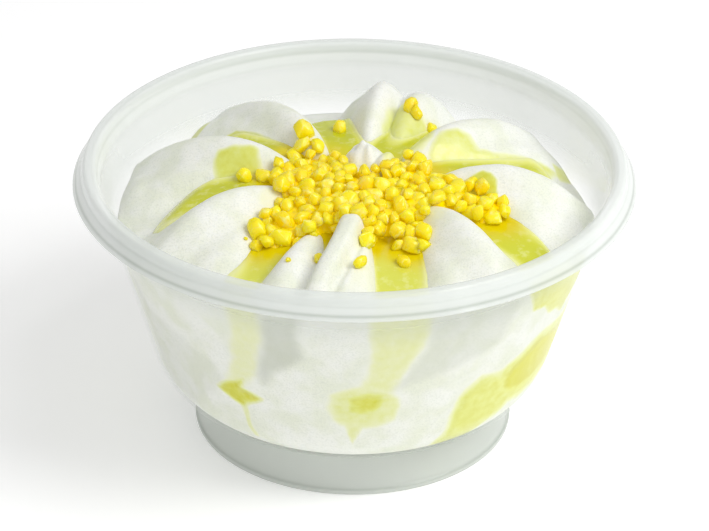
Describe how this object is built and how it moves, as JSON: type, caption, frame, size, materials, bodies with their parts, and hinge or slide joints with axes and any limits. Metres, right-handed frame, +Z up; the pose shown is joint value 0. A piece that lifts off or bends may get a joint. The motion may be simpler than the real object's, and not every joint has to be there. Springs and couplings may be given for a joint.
{
  "type": "nougat ice cream sundae",
  "caption": "Piped vanilla ice cream rosette with yellow sauce and a heap of nougat grains, in a clear footed dessert cup.",
  "frame": {"origin": "middle of the foot's ring, on the surface that the cup stands on", "axes": "+Z up through the cup's axis, -Y towards the front fold of the rosette, +X to its right"},
  "size_m": [0.101, 0.101, 0.0535],
  "materials": {
    "clear_plastic": "thin clear polypropylene, slightly milky, smooth and glossy",
    "ice_cream": "smooth soft ice cream, very fine grain, slight sheen",
    "sauce": "glossy translucent fruit sauce",
    "nougat": "crushed nougat grains, yellow with pale broken edges"
  },
  "bodies": {
    "root": {"cup": "clear_plastic", "ice_cream": "ice_cream", "sauce": "sauce", "nougat_heap": "nougat"}
  },
  "joints": []
}
